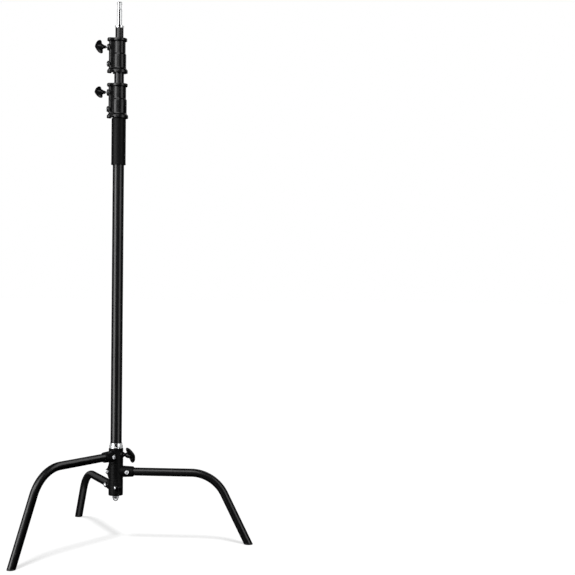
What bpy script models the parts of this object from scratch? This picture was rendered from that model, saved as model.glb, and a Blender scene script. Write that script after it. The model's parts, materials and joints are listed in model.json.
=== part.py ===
"""C stand: a three-section light stand on a folding base with three bent legs.

Every piece is an object of its own. Empties carry the frames: "stand" lies on the column's axis at
floor level, each leg has one turned so that its local +X runs out along the leg, and each clamp has
one whose local +X runs out along the clamp's screw.
"""
import math

import bmesh
import bpy
from mathutils import Matrix, Vector

# ---- driving dimensions, in metres -------------------------------------------------------------

GAP = 0.0003                    # left between pieces that touch
TOTAL_HEIGHT = 1.680            # floor to the top of the spigot, both risers down
TUBE_WALL = 0.0015
COLUMN_RADIUS = 0.0175
MIDDLE_RISER_RADIUS = 0.0150
TOP_RISER_RADIUS = 0.0125
LEG_RADIUS = 0.0125

# base: three leg castings stacked on a receiver tube
HUB_BOTTOM = 0.1450
HUB_RADIUS = 0.0225
HUB_BORE_RADIUS = 0.0196
END_WASHER_HEIGHT = 0.0030
CASTING_HEIGHT = 0.0468
THRUST_WASHER_HEIGHT = 0.0008
CASTING_PITCH = CASTING_HEIGHT + THRUST_WASHER_HEIGHT + 2 * GAP
RECEIVER_RADIUS = 0.0192
RECEIVER_FLANGE_RADIUS = 0.0210
RECEIVER_FLANGE_TOP = 0.3005
RECEIVER_TOP = 0.3078
BASE_PLUG_HEIGHT = 0.0100

# legs: one bend each, then a straight run down to the floor
# distance from the axis to where a leg's two straight runs would meet
LEG_BEND_CORNER = {"top": 0.3205, "middle": 0.3090, "bottom": 0.3110}
LEG_BEND_RADIUS = 0.1156
# outward run for each metre of drop
LEG_SLOPE = {"top": 0.4260, "middle": 0.4985, "bottom": 0.5250}
LEG_ROOT = 0.0243               # distance from the axis to the tube's inner end
ARM_LENGTH = 0.0570
FOOT_HEIGHT = 0.0050
BOSS_HALF_LENGTH = 0.0176
LEG_AZIMUTH = {"top": 240.0, "middle": 0.0, "bottom": 120.0}
LEG_HEIGHT = {"top": 0.2683, "middle": 0.2190, "bottom": 0.1692}
LEG_BOLT_RADIUS = {"top": 0.0300, "middle": 0.0378, "bottom": 0.0515}
LEG_BOLT_SIDE = {"top": 1, "middle": -1, "bottom": 1}
PINCH_RADIUS = {"middle": 0.0258, "bottom": 0.0240}
PINCH_SEAT = 0.0098             # the spot face that the pinch bolt's head bears on
PINCH_DEPTH = 0.0065            # how far its screw reaches past the slot
LOBE_RADIUS = 0.0105
LOBE_CENTRE = {"middle": 0.0208, "bottom": 0.0181}
LOBE_HALF_WIDTH = 0.0102

# collars: each is fixed on the lower tube and clamps the one that slides in it
COLLAR_HEIGHT = 0.1070
COLLAR_STEP_DEPTH = 0.0480      # from the top down to where the collar widens
COLLAR_KNOB_DEPTH = 0.0285
COLLAR_BOLT_HEIGHT = 0.0270
COLLAR_FLANGE = 0.0048
COLLAR_EAR_REACH = 0.0318
COLLAR_BOSS_REACH = 0.0372
LOWER_COLLAR_BOTTOM = 1.3195
UPPER_COLLAR_BOTTOM = 1.4600
KNOB_AZIMUTH = 200.0

# clamp screws
HANDLE_AZIMUTH = -22.0
HANDLE_HEIGHT = 0.2728
HANDLE_HALF_SPAN = 0.0300
BOLT_RADIUS = 0.0040
CLAMP_SCREW_RADIUS = 0.0035
BASE_SHOE_RADIUS = 0.0045
COLLAR_SHOE_RADIUS = 0.0050

GRIP_BOTTOM = 1.1746
GRIP_RADIUS = 0.0222

SPIGOT_RADIUS = 0.0080
SPIGOT_FLANGE_TOP = 1.6058
TOP_TUBE_END = 1.5995

ROUND_SIDES = 20
SMALL_SIDES = 12
LEG_SIDES = 16
SHARP_ANGLE = math.radians(35)

FOOT_RADIUS = {leg: LEG_BEND_CORNER[leg] + LEG_SLOPE[leg] * height for leg, height in LEG_HEIGHT.items()}

# The origin is on the floor at the middle of the feet's box, so the column stands beside it.
COLUMN_X = -(FOOT_RADIUS["middle"] - FOOT_RADIUS["top"] / 2) / 2
COLUMN_Y = (FOOT_RADIUS["top"] - FOOT_RADIUS["bottom"]) * math.sin(math.radians(60)) / 2


# ---- scene and materials -----------------------------------------------------------------------

def clear_scene():
    for obj in list(bpy.data.objects):
        bpy.data.objects.remove(obj, do_unlink=True)


def material(name, color, roughness, metallic):
    mat = bpy.data.materials.new(name)
    mat.use_nodes = True
    shader = mat.node_tree.nodes["Principled BSDF"]
    shader.inputs["Base Color"].default_value = (*color, 1.0)
    shader.inputs["Roughness"].default_value = roughness
    shader.inputs["Metallic"].default_value = metallic
    return mat


def frame(name, parent=None, location=(0, 0, 0), azimuth=0.0):
    """An empty that carries the pieces of one body, turned about the vertical."""
    empty = bpy.data.objects.new(name, None)
    bpy.context.collection.objects.link(empty)
    empty.parent = parent
    empty.location = location
    empty.rotation_euler = (0, 0, math.radians(azimuth))
    return empty


def add_object(name, bm, mat, parent, location=(0, 0, 0)):
    """Turn a bmesh into a smooth-shaded object in its parent's frame."""
    bmesh.ops.recalc_face_normals(bm, faces=bm.faces)
    mesh = bpy.data.meshes.new(name)
    bm.to_mesh(mesh)
    bm.free()
    mesh.shade_smooth()
    mesh.set_sharp_from_angle(angle=SHARP_ANGLE)
    if mat:
        mesh.materials.append(mat)
    obj = bpy.data.objects.new(name, mesh)
    bpy.context.collection.objects.link(obj)
    obj.parent = parent
    obj.location = location
    return obj


def combine(target, operation, *shapes):
    """Join or cut a piece with helper shapes given in the same frame as the piece.

    Its faces are split into triangles before each step, because only a triangle is exactly flat.
    """
    for number, bm in enumerate(shapes):
        name = f"{target.name}_{operation.lower()}_{number}"
        helper = add_object(name, bm, None, target.parent, target.location)
        helper.hide_render = True
        helper.display_type = 'WIRE'
        target.modifiers.new(f"{name}_flat_faces", 'TRIANGULATE')
        boolean = target.modifiers.new(name, 'BOOLEAN')
        boolean.operation = operation
        boolean.object = helper


# ---- shapes ------------------------------------------------------------------------------------

def turned(profile, sides=ROUND_SIDES):
    """Spin a (radius, height) outline about Z; an outline that starts on the axis stays open there."""
    bm = bmesh.new()
    verts = [bm.verts.new((radius, 0, height)) for radius, height in profile]
    edges = [bm.edges.new(pair) for pair in zip(verts, verts[1:])]
    if profile[0][0] > 0:
        edges.append(bm.edges.new((verts[-1], verts[0])))
    bmesh.ops.spin(bm, geom=verts + edges, cent=(0, 0, 0), axis=(0, 0, 1),
                   angle=2 * math.pi, steps=sides, use_merge=True)
    bmesh.ops.remove_doubles(bm, verts=bm.verts, dist=1e-6)
    return bm


def ring(inner, outer, bottom, top):
    """A tube or washer about Z."""
    return turned([(inner, bottom), (outer, bottom), (outer, top), (inner, top)])


def rod(radius, bottom, top, sides=SMALL_SIDES):
    return turned([(0, bottom), (radius, bottom), (radius, top), (0, top)], sides)


def drill(radius, bottom, top, sides=SMALL_SIDES):
    """A rod for cutting a hole, turned by half a side so its edges miss those of the piece it cuts."""
    return turned_by(rod(radius, bottom, top, sides), 180 / sides)


def stepped_drill(wide, narrow, bottom, step, top, sides=SMALL_SIDES):
    """A drill that is wide up to a step and narrow beyond it."""
    shape = turned([(0, bottom), (wide, bottom), (wide, step), (narrow, step), (narrow, top), (0, top)], sides)
    return turned_by(shape, 180 / sides)


def along_x(bm, height=0.0):
    """Lay a shape that was made about Z along +X, at a height."""
    matrix = Matrix.Translation((0, 0, height)) @ Matrix.Rotation(math.radians(90), 4, 'Y')
    bmesh.ops.transform(bm, matrix=matrix, verts=bm.verts)
    return bm


def along_y(bm, x=0.0, height=0.0, side=1):
    """Lay a shape that was made about Z along Y, to either side, at a distance out and a height."""
    matrix = Matrix.Translation((x, 0, height)) @ Matrix.Rotation(math.radians(-90 * side), 4, 'X')
    bmesh.ops.transform(bm, matrix=matrix, verts=bm.verts)
    return bm


def turned_by(bm, azimuth):
    """Turn a shape about Z by an angle in degrees."""
    bmesh.ops.transform(bm, matrix=Matrix.Rotation(math.radians(azimuth), 4, 'Z'), verts=bm.verts)
    return bm


def box(low, high):
    bm = bmesh.new()
    bmesh.ops.create_cube(bm, size=1.0)
    for vert in bm.verts:
        for axis in range(3):
            vert.co[axis] = high[axis] if vert.co[axis] > 0 else low[axis]
    return bm


def loft(rings):
    """Skin a stack of rings that all have the same number of points, and close both ends."""
    bm = bmesh.new()
    loops = [[bm.verts.new(point) for point in points] for points in rings]
    for lower, upper in zip(loops, loops[1:]):
        for i, vert in enumerate(lower):
            bm.faces.new((lower[i - 1], vert, upper[i], upper[i - 1]))
    bm.faces.new(loops[0])
    bm.faces.new(loops[-1])
    return bm


def hexagon(across_flats, bottom, top, hole=0.0):
    """A hexagonal nut about Z, with a round hole if one is given."""
    corner = across_flats / 2 / math.cos(math.radians(30))
    bm = bmesh.new()
    outer = [bm.verts.new((corner * math.cos(a), corner * math.sin(a), bottom))
             for a in (math.radians(60 * i) for i in range(6))]
    face = bm.faces.new(outer)
    grown = bmesh.ops.extrude_face_region(bm, geom=[face])
    lifted = [item for item in grown["geom"] if isinstance(item, bmesh.types.BMVert)]
    bmesh.ops.translate(bm, vec=(0, 0, top - bottom), verts=lifted)
    if not hole:
        return bm, None
    return bm, drill(hole, bottom - 0.001, top + 0.001)


# ---- legs --------------------------------------------------------------------------------------

def leg_path(leg, steps=7):
    """Centre line of a leg in its own frame, as points with their directions."""
    height = LEG_HEIGHT[leg]
    drop_angle = math.atan2(1.0, LEG_SLOPE[leg])
    bend_start = LEG_BEND_CORNER[leg] - LEG_BEND_RADIUS * math.tan(drop_angle / 2)
    path = [(Vector((LEG_ROOT, 0, height)), Vector((1, 0, 0)))]
    for i in range(steps + 1):
        angle = drop_angle * i / steps
        point = Vector((bend_start + LEG_BEND_RADIUS * math.sin(angle), 0,
                        height - LEG_BEND_RADIUS * (1 - math.cos(angle))))
        path.append((point, Vector((math.cos(angle), 0, -math.sin(angle)))))
    return path


def leg_end(leg, level):
    """The point where a leg's centre line comes down to a level, and its direction there."""
    direction = Vector((LEG_SLOPE[leg], 0, -1)).normalized()
    return Vector((FOOT_RADIUS[leg] - LEG_SLOPE[leg] * level, 0, level)), direction


def round_section(point, direction, radius, sides, level=None):
    """Points round a tube, square to its direction or slid along it to one level."""
    side = Vector((0, 1, 0))
    up = direction.cross(side)
    points = []
    for i in range(sides):
        angle = 2 * math.pi * i / sides
        spot = point + radius * (math.cos(angle) * up + math.sin(angle) * side)
        if level is not None:
            spot = spot + direction * ((level - spot.z) / direction.z)
        points.append(spot)
    return points


def leg_tube(leg, sides=LEG_SIDES):
    """A bent hollow tube, open at both ends, whose lower end is cut level with the floor."""
    path = leg_path(leg)
    end_point, end_direction = leg_end(leg, FOOT_HEIGHT + GAP)
    outer = [round_section(p, d, LEG_RADIUS, sides) for p, d in path]
    outer.append(round_section(end_point, end_direction, LEG_RADIUS, sides, end_point.z))
    inner = [round_section(p, d, LEG_RADIUS - TUBE_WALL, sides) for p, d in path]
    inner.append(round_section(end_point, end_direction, LEG_RADIUS - TUBE_WALL, sides, end_point.z))
    bm = bmesh.new()
    loops = [[bm.verts.new(point) for point in points] for points in outer + inner[::-1]]
    for near, far in zip(loops, loops[1:] + loops[:1]):
        for i, vert in enumerate(near):
            bm.faces.new((near[i - 1], vert, far[i], far[i - 1]))
    return bm


def foot_cap(leg, sides=LEG_SIDES):
    """A floor pad as wide as the tube with a plug that runs up inside it."""
    rings = []
    plug_radius = LEG_RADIUS - TUBE_WALL - GAP
    for radius, level in ((LEG_RADIUS - 0.0012, 0.0), (LEG_RADIUS, 0.0015), (LEG_RADIUS, FOOT_HEIGHT),
                          (plug_radius, FOOT_HEIGHT), (plug_radius, 0.022)):
        centre, direction = leg_end(leg, level)
        rings.append(round_section(centre, direction, radius, sides, level))
    return loft(rings)


# ---- base --------------------------------------------------------------------------------------

def leg_casting(name, leg, low, mat, parent):
    """A sleeve round the receiver tube with a socket arm for the leg."""
    height = LEG_HEIGHT[leg]
    high = low + CASTING_HEIGHT
    middle = low + CASTING_HEIGHT / 2
    barrel = turned([(0, low), (HUB_RADIUS - 0.0008, low), (HUB_RADIUS, low + 0.0008),
                     (HUB_RADIUS, high - 0.0008), (HUB_RADIUS - 0.0008, high), (0, high)])
    casting = add_object(name, barrel, mat, parent)
    arm = turned([(0, 0.0140), (0.0180, 0.0140), (0.0160, ARM_LENGTH - 0.0015),
                  (0.0145, ARM_LENGTH), (0, ARM_LENGTH)], LEG_SIDES)
    bolt_x = LEG_BOLT_RADIUS[leg]
    boss = rod(0.0085, -BOSS_HALF_LENGTH, BOSS_HALF_LENGTH)
    shapes = [along_x(arm, height), along_y(boss, bolt_x, height)]
    cuts = [along_x(drill(LEG_RADIUS + GAP, LEG_ROOT - GAP, 0.070, LEG_SIDES), height),
            along_y(drill(BOLT_RADIUS + GAP, -0.030, 0.030), bolt_x, height)]
    if leg == "top":
        boss_azimuth = HANDLE_AZIMUTH - LEG_AZIMUTH["top"]
        boss_height = HANDLE_HEIGHT
        shapes.append(turned_by(along_x(rod(0.0085, 0.0200, 0.0285), boss_height), boss_azimuth))
        stepped = stepped_drill(BASE_SHOE_RADIUS + GAP, CLAMP_SCREW_RADIUS + GAP, 0.0100, 0.0242, 0.0350)
        cuts.append(turned_by(along_x(stepped, boss_height), boss_azimuth))
        cuts.append(along_x(drill(BOLT_RADIUS + GAP, -0.035, -0.010), middle))
        shapes.append(along_x(rod(0.0080, -0.0262, -0.0200), middle))
    else:
        side = LEG_BOLT_SIDE[leg]
        pinch = stepped_drill(0.0028, 0.0061, -PINCH_DEPTH - GAP, PINCH_SEAT, 0.0200)
        shapes.append(pinch_lobe(LOBE_CENTRE[leg], middle))
        cuts.append(along_y(pinch, -PINCH_RADIUS[leg], middle, side))
        cuts.append(box((-0.040, -0.0006, low - 0.001), (-0.0150, 0.0006, high + 0.001)))
    combine(casting, 'UNION', *shapes)
    combine(casting, 'DIFFERENCE', drill(HUB_BORE_RADIUS, low - 0.002, high + 0.002, ROUND_SIDES), *cuts)
    return casting


def pinch_lobe(centre, height):
    """A rounded lobe opposite the arm: flat top and bottom slopes meeting a round nose."""
    root_half = CASTING_HEIGHT / 2 - 0.0012
    outline = [(-0.0185, root_half)]
    for i in range(7):
        angle = math.radians(65 - 130 * i / 6)
        outline.append((-centre - LOBE_RADIUS * math.cos(angle), LOBE_RADIUS * math.sin(angle)))
    outline.append((-0.0185, -root_half))
    return loft([[Vector((x, y, height + z)) for x, z in outline]
                 for y in (-LOBE_HALF_WIDTH, LOBE_HALF_WIDTH)])


def button_bolt(radius, head_radius, head_height, length, key):
    """A button-head bolt about Z: the head's flat side at 0, the shank below and a hexagon key hole."""
    bolt = turned([(0, -length), (radius - 0.0006, -length), (radius, -length + 0.0006), (radius, 0),
                   (head_radius, 0), (head_radius, head_height * 0.35),
                   (head_radius * 0.70, head_height), (0, head_height)], SMALL_SIDES)
    socket, _ = hexagon(key, head_height * 0.35, head_height + 0.001)
    return bolt, socket


def cross_bolt(name, x, height, side, seat, length, sizes, mats, parent):
    """A bolt through a casting, square to the leg, with its head on one side."""
    radius, head_radius, head_height = sizes
    bolt, socket = button_bolt(radius, head_radius, head_height, length, head_radius * 0.75)
    for bm in (bolt, socket):
        bmesh.ops.translate(bm, vec=(0, 0, seat + GAP), verts=bm.verts)
        along_y(bm, x, height, side)
    combine(add_object(name, bolt, mats["steel"], parent), 'DIFFERENCE', socket)


def build_leg(leg, level, mats, stand):
    """One leg in its own frame: casting, bent tube, foot and the bolts that hold them."""
    pivot = frame(f"{leg}_leg_frame", stand, azimuth=LEG_AZIMUTH[leg])
    height = LEG_HEIGHT[leg]
    low = HUB_BOTTOM + END_WASHER_HEIGHT + GAP + level * CASTING_PITCH
    leg_casting(f"{leg}_leg_casting", leg, low, mats["casting"], pivot)
    bolt_x = LEG_BOLT_RADIUS[leg]
    side = LEG_BOLT_SIDE[leg]
    tube = add_object(f"{leg}_leg_tube", leg_tube(leg), mats["tube"], pivot)
    combine(tube, 'DIFFERENCE', along_y(drill(BOLT_RADIUS + GAP, -0.030, 0.030), bolt_x, height))
    add_object(f"{leg}_leg_foot", foot_cap(leg), mats["plastic"], pivot)
    seat = BOSS_HALF_LENGTH
    cross_bolt(f"{leg}_leg_bolt", bolt_x, height, side, seat, 2 * seat + 0.0068,
               (BOLT_RADIUS, 0.0070, 0.0040), mats, pivot)
    nut, hole = hexagon(0.0130, -seat - 0.0060 - GAP, -seat - GAP, BOLT_RADIUS + GAP)
    nut_object = add_object(f"{leg}_leg_nut", along_y(nut, bolt_x, height, side), mats["steel"], pivot)
    combine(nut_object, 'DIFFERENCE', along_y(hole, bolt_x, height, side))
    if leg != "top":
        cross_bolt(f"{leg}_pinch_bolt", -PINCH_RADIUS[leg], low + CASTING_HEIGHT / 2, side, PINCH_SEAT,
                   PINCH_SEAT + PINCH_DEPTH, (0.0025, 0.0057, 0.0036), mats, pivot)
    return pivot, low + CASTING_HEIGHT / 2


def build_hub(mats, stand, top_frame, top_height):
    """The receiver tube, the bolt that holds the stack together and the washers between castings."""
    base = HUB_BOTTOM + END_WASHER_HEIGHT + GAP
    inner = COLUMN_RADIUS + 0.0004
    flange_bottom = base + 3 * CASTING_HEIGHT + 2 * (THRUST_WASHER_HEIGHT + 2 * GAP) + GAP
    receiver = turned([(inner, base), (RECEIVER_RADIUS, base), (RECEIVER_RADIUS, flange_bottom),
                       (RECEIVER_FLANGE_RADIUS, flange_bottom),
                       (RECEIVER_FLANGE_RADIUS, RECEIVER_FLANGE_TOP - 0.0006),
                       (RECEIVER_FLANGE_RADIUS - 0.0006, RECEIVER_FLANGE_TOP),
                       (RECEIVER_RADIUS, RECEIVER_FLANGE_TOP), (RECEIVER_RADIUS, RECEIVER_TOP - 0.0005),
                       (RECEIVER_RADIUS - 0.0005, RECEIVER_TOP), (inner, RECEIVER_TOP)])
    tube = add_object("receiver_tube", receiver, mats["chrome"], stand)
    hole = turned_by(along_x(drill(BASE_SHOE_RADIUS + GAP, 0.010, 0.030), HANDLE_HEIGHT), HANDLE_AZIMUTH)
    combine(tube, 'DIFFERENCE', hole)
    plug = ring(0.0063, inner - GAP, base, base + BASE_PLUG_HEIGHT)
    add_object("base_plug", plug, mats["steel"], stand)
    washer = ring(0.0063, HUB_RADIUS - 0.0002, HUB_BOTTOM, HUB_BOTTOM + END_WASHER_HEIGHT)
    add_object("end_washer", washer, mats["casting"], stand)
    for number, name in enumerate(("lower_thrust_washer", "upper_thrust_washer")):
        bottom = base + CASTING_HEIGHT + GAP + number * CASTING_PITCH
        shape = ring(HUB_BORE_RADIUS, HUB_RADIUS - 0.0006, bottom, bottom + THRUST_WASHER_HEIGHT)
        add_object(name, shape, mats["nylon"], stand)
    spring = turned([(0.0063, HUB_BOTTOM - 0.0030), (0.0075, HUB_BOTTOM - 0.0030),
                     (0.0118, HUB_BOTTOM - 0.0016), (0.0118, HUB_BOTTOM - GAP),
                     (0.0106, HUB_BOTTOM - GAP), (0.0063, HUB_BOTTOM - 0.0018)], LEG_SIDES)
    add_object("spring_washer", spring, mats["steel"], stand)
    build_centre_bolt(mats, stand, base + BASE_PLUG_HEIGHT + GAP)
    screw = rod(BOLT_RADIUS, -0.0258, -0.0195)
    bmesh.ops.transform(screw, matrix=Matrix.Rotation(math.radians(90), 4, 'Y'), verts=screw.verts)
    bmesh.ops.translate(screw, vec=(0, 0, top_height), verts=screw.verts)
    add_object("top_casting_set_screw", screw, mats["steel"], top_frame)


def build_centre_bolt(mats, stand, seat):
    """A hexagon bolt down through the base plug, with a domed nut under the stack."""
    nut_top = HUB_BOTTOM - 0.0030 - GAP
    nut_bottom = nut_top - 0.0160
    bolt = rod(0.0060, nut_bottom + 0.0035, seat + 0.001)
    bolt_object = add_object("centre_bolt", bolt, mats["steel"], stand)
    head, _ = hexagon(0.0190, seat, seat + 0.0070)
    combine(bolt_object, 'UNION', head)
    nut, _ = hexagon(0.0190, nut_top - 0.0070, nut_top)
    nut_object = add_object("domed_nut", nut, mats["chrome"], stand)
    dome = [(0, nut_top - 0.0060), (0.0088, nut_top - 0.0060)]
    for i in range(4):
        angle = math.radians(90 * i / 3)
        dome.append((0.0088 * math.cos(angle), nut_top - 0.0080 - 0.0080 * math.sin(angle)))
    combine(nut_object, 'UNION', turned(dome))
    combine(nut_object, 'DIFFERENCE', drill(0.0063, nut_bottom + 0.0032, nut_top + 0.001))


# ---- clamps ------------------------------------------------------------------------------------

def wing_handle(start, apex):
    """A T handle about local X: two swept wings on a tapered shank, with a blind hole for its screw."""
    rings = []
    for t in (-1.0, -0.96, -0.85, -0.65, -0.35, 0.0, 0.35, 0.65, 0.85, 0.96, 1.0):
        reach = abs(t)
        taper = max(math.sqrt(1 - reach ** 8), 0.45)
        full_depth = 0.0200 - 0.0075 * reach
        depth = full_depth * taper
        centre = apex - 0.0112 * reach ** 2 - full_depth / 2
        thick = (0.0066 - 0.0014 * reach) * taper
        points = []
        for i in range(8):
            angle = 2 * math.pi * i / 8
            points.append(Vector((centre + depth / 2 * math.cos(angle), thick * math.sin(angle),
                                  t * HANDLE_HALF_SPAN)))
        rings.append(points)
    shank = turned([(0, start), (0.0046, start), (0.0054, start + 0.0012), (0.0082, start + 0.0080),
                    (0.0100, apex - 0.0150), (0.0070, apex - 0.0065), (0, apex - 0.0065)], SMALL_SIDES)
    hole = along_x(drill(CLAMP_SCREW_RADIUS + GAP, start - 0.001, start + 0.0130))
    return loft(rings), along_x(shank), hole


def build_clamp(name, azimuth, height, tube_radius, shoe, screw_start, handle_start, apex, roll,
                mats, parent):
    """Brake shoe, screw and T handle in a frame whose +X runs out along the screw."""
    shoe_radius, shoe_length = shoe
    axis = frame(f"{name}_clamp_frame", parent, (0, 0, height), azimuth)
    face = tube_radius + GAP
    pad = along_x(rod(shoe_radius, tube_radius - 0.003, face + shoe_length))
    pad_object = add_object(f"{name}_brake_shoe", pad, mats["brass"], axis)
    combine(pad_object, 'DIFFERENCE', drill(face, -0.020, 0.020, ROUND_SIDES * 2))
    screw = rod(CLAMP_SCREW_RADIUS, screw_start, handle_start + 0.0125)
    add_object(f"{name}_clamp_screw", along_x(screw), mats["steel"], axis)
    wings, shank, hole = wing_handle(handle_start, apex)
    for bm in (wings, shank, hole):
        bmesh.ops.transform(bm, matrix=Matrix.Rotation(math.radians(roll), 4, 'X'), verts=bm.verts)
    handle = add_object(f"{name}_t_handle", wings, mats["handle"], axis)
    combine(handle, 'UNION', shank)
    combine(handle, 'DIFFERENCE', hole)


# ---- collars -----------------------------------------------------------------------------------

def collar_outline(radius, offset, level):
    """Plan of a collar: a round barrel with a blunt ear along +X, grown outward by an offset."""
    radius += offset
    reach = COLLAR_EAR_REACH + offset
    root_half = 0.0152 + offset
    nose_half = 0.0105 + offset
    corner = 0.0055 + offset * 0.6
    start = math.asin(root_half / radius)
    upper = []
    for i in range(3):
        angle = math.radians(90 * i / 2)
        upper.append((reach - corner + corner * math.cos(angle),
                      nose_half - corner + corner * math.sin(angle)))
    steps = 8
    for i in range(steps + 1):
        angle = start + (math.pi - start) * i / steps
        upper.append((radius * math.cos(angle), radius * math.sin(angle)))
    lower = [(x, -y) for x, y in upper[-2::-1]]
    return [Vector((x, y, level)) for x, y in upper + lower]


def build_collar(name, bottom, lower_tube, sliding_tube, mats, parent):
    """A clamp collar: casting, guide bush and the bolt that fixes it on the lower tube."""
    frame_object = frame(f"{name}_collar_frame", parent, (0, 0, bottom), KNOB_AZIMUTH)
    wide = lower_tube + 0.0066
    narrow = sliding_tube + 0.0069
    step = COLLAR_HEIGHT - COLLAR_STEP_DEPTH
    top = COLLAR_HEIGHT
    flange = COLLAR_FLANGE
    levels = [(wide, flange - 0.0018, 0.0), (wide, flange, 0.0022), (wide, flange, 0.0080),
              (wide, 0.0, 0.0140), (wide, 0.0, step - 0.0012), (narrow, 0.0, step + 0.0006),
              (narrow, 0.0, top - 0.0105), (narrow, flange, top - 0.0075),
              (narrow, flange, top - 0.0022), (narrow, flange - 0.0018, top)]
    rings = [collar_outline(radius, offset, level) for radius, offset, level in levels]
    casting = add_object(f"{name}_collar", loft(rings), mats["casting"], frame_object)
    knob_level = top - COLLAR_KNOB_DEPTH
    bolt_level = COLLAR_BOLT_HEIGHT
    bore = lower_tube + GAP
    reach = COLLAR_BOSS_REACH
    bosses = [turned([(0, 0.0250), (radius, 0.0250), (radius - 0.0006, reach - 0.0012),
                      (radius - 0.0018, reach), (0, reach)], LEG_SIDES) for radius in (0.0102, 0.0092)]
    combine(casting, 'UNION', along_x(bosses[0], knob_level), along_x(bosses[1], bolt_level))
    stepped = stepped_drill(COLLAR_SHOE_RADIUS + GAP, CLAMP_SCREW_RADIUS + GAP, 0.0050, 0.0276, 0.0450)
    combine(casting, 'DIFFERENCE', drill(bore, -0.002, top + 0.002, ROUND_SIDES),
            along_x(stepped, knob_level),
            along_x(drill(0.0033, 0.0050, 0.0450), bolt_level),
            box((0.0170, -0.040, -0.002), (0.0235, 0.040, 0.0052)))
    bush = ring(sliding_tube + GAP, lower_tube, step + GAP, top - 0.0010)
    bush_object = add_object(f"{name}_collar_bush", bush, mats["nylon"], frame_object)
    combine(bush_object, 'DIFFERENCE', along_x(drill(COLLAR_SHOE_RADIUS + GAP, 0.0050, 0.0300), knob_level))
    bolt, socket = button_bolt(0.0030, 0.0042, 0.0022, reach - lower_tube, 0.0030)
    for bm in (bolt, socket):
        bmesh.ops.translate(bm, vec=(0, 0, reach + GAP), verts=bm.verts)
        along_x(bm, bolt_level)
    combine(add_object(f"{name}_collar_bolt", bolt, mats["steel"], frame_object), 'DIFFERENCE', socket)
    return bottom + knob_level, bottom + step


# ---- column and risers -------------------------------------------------------------------------

def build_tube(name, radius, bottom, top, mats, parent):
    add_object(name, ring(radius - TUBE_WALL, radius, bottom, top), mats["tube"], parent)


def end_plug(name, radius, inner, hole, bottom, flange, length, mats, parent):
    """A plastic end piece: a flange under the tube and a sleeve up inside it."""
    shape = turned([(hole, bottom), (radius - 0.0004, bottom), (radius, bottom + 0.0008),
                    (radius, bottom + flange), (inner, bottom + flange), (inner, bottom + length),
                    (hole, bottom + length)])
    add_object(name, shape, mats["nylon"], parent)
    return bottom + flange + GAP


def build_spigot(mats, parent):
    """The mounting pin: grooved head, plain shank, flange on the tube and a stub inside it."""
    top = TOTAL_HEIGHT
    r = SPIGOT_RADIUS
    stub = TOP_RISER_RADIUS - TUBE_WALL - GAP
    shape = turned([(0, 1.5620), (stub - 0.001, 1.5620), (stub, 1.5630), (stub, TOP_TUBE_END + GAP),
                    (TOP_RISER_RADIUS + 0.0001, TOP_TUBE_END + GAP), (0.0144, SPIGOT_FLANGE_TOP - 0.0012),
                    (0.0144, SPIGOT_FLANGE_TOP), (0.0105, SPIGOT_FLANGE_TOP + 0.0010),
                    (r, SPIGOT_FLANGE_TOP + 0.0012), (r, top - 0.0240), (0.0066, top - 0.0228),
                    (0.0066, top - 0.0082), (r, top - 0.0070), (r, top - 0.0012),
                    (r - 0.0012, top), (0, top)], LEG_SIDES)
    add_object("spigot", shape, mats["chrome"], parent)


def build_column(mats, stand):
    """The column with its grip, the two risers inside it and the two clamp collars."""
    column = frame("column_frame", stand)
    base = HUB_BOTTOM + END_WASHER_HEIGHT + 2 * GAP + BASE_PLUG_HEIGHT + 0.0075
    column_bottom = end_plug("column_end_plug", COLUMN_RADIUS, COLUMN_RADIUS - TUBE_WALL - GAP, 0.0040,
                             base, 0.0035, 0.0155, mats, column)
    knob, step = build_collar("lower", LOWER_COLLAR_BOTTOM, COLUMN_RADIUS, MIDDLE_RISER_RADIUS, mats, column)
    build_tube("column_tube", COLUMN_RADIUS, column_bottom, step - GAP, mats, column)
    grip_top = LOWER_COLLAR_BOTTOM - GAP
    inner = COLUMN_RADIUS + GAP
    grip = turned([(inner, GRIP_BOTTOM), (GRIP_RADIUS - 0.0006, GRIP_BOTTOM),
                   (GRIP_RADIUS + 0.0004, GRIP_BOTTOM + 0.0012), (GRIP_RADIUS + 0.0004, GRIP_BOTTOM + 0.0040),
                   (GRIP_RADIUS, GRIP_BOTTOM + 0.0052), (GRIP_RADIUS, grip_top - 0.0012),
                   (GRIP_RADIUS - 0.0012, grip_top), (inner, grip_top)])
    add_object("grip_sleeve", grip, mats["foam"], column)
    build_clamp("lower", KNOB_AZIMUTH, knob, MIDDLE_RISER_RADIUS, (COLLAR_SHOE_RADIUS, 0.0085),
                0.0242, 0.0425, 0.0757, 50, mats, column)

    riser = frame("middle_riser_frame", column)
    guide = base + 0.0155 + 2 * GAP
    riser_bottom = end_plug("middle_riser_guide", COLUMN_RADIUS - TUBE_WALL - GAP,
                            MIDDLE_RISER_RADIUS - TUBE_WALL - GAP, 0.0040, guide, 0.0120, 0.0240, mats, riser)
    knob, step = build_collar("upper", UPPER_COLLAR_BOTTOM, MIDDLE_RISER_RADIUS, TOP_RISER_RADIUS, mats, riser)
    build_tube("middle_riser_tube", MIDDLE_RISER_RADIUS, riser_bottom, step - GAP, mats, riser)
    build_clamp("upper", KNOB_AZIMUTH, knob, TOP_RISER_RADIUS, (COLLAR_SHOE_RADIUS, 0.0110),
                0.0242, 0.0425, 0.0757, 40, mats, riser)

    top = frame("top_riser_frame", riser)
    guide = guide + 0.0240 + 2 * GAP
    riser_bottom = end_plug("top_riser_guide", MIDDLE_RISER_RADIUS - TUBE_WALL - GAP,
                            TOP_RISER_RADIUS - TUBE_WALL - GAP, 0.0040, guide, 0.0120, 0.0240, mats, top)
    build_tube("top_riser_tube", TOP_RISER_RADIUS, riser_bottom, TOP_TUBE_END, mats, top)
    build_spigot(mats, top)


# ---- assembly ----------------------------------------------------------------------------------

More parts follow.
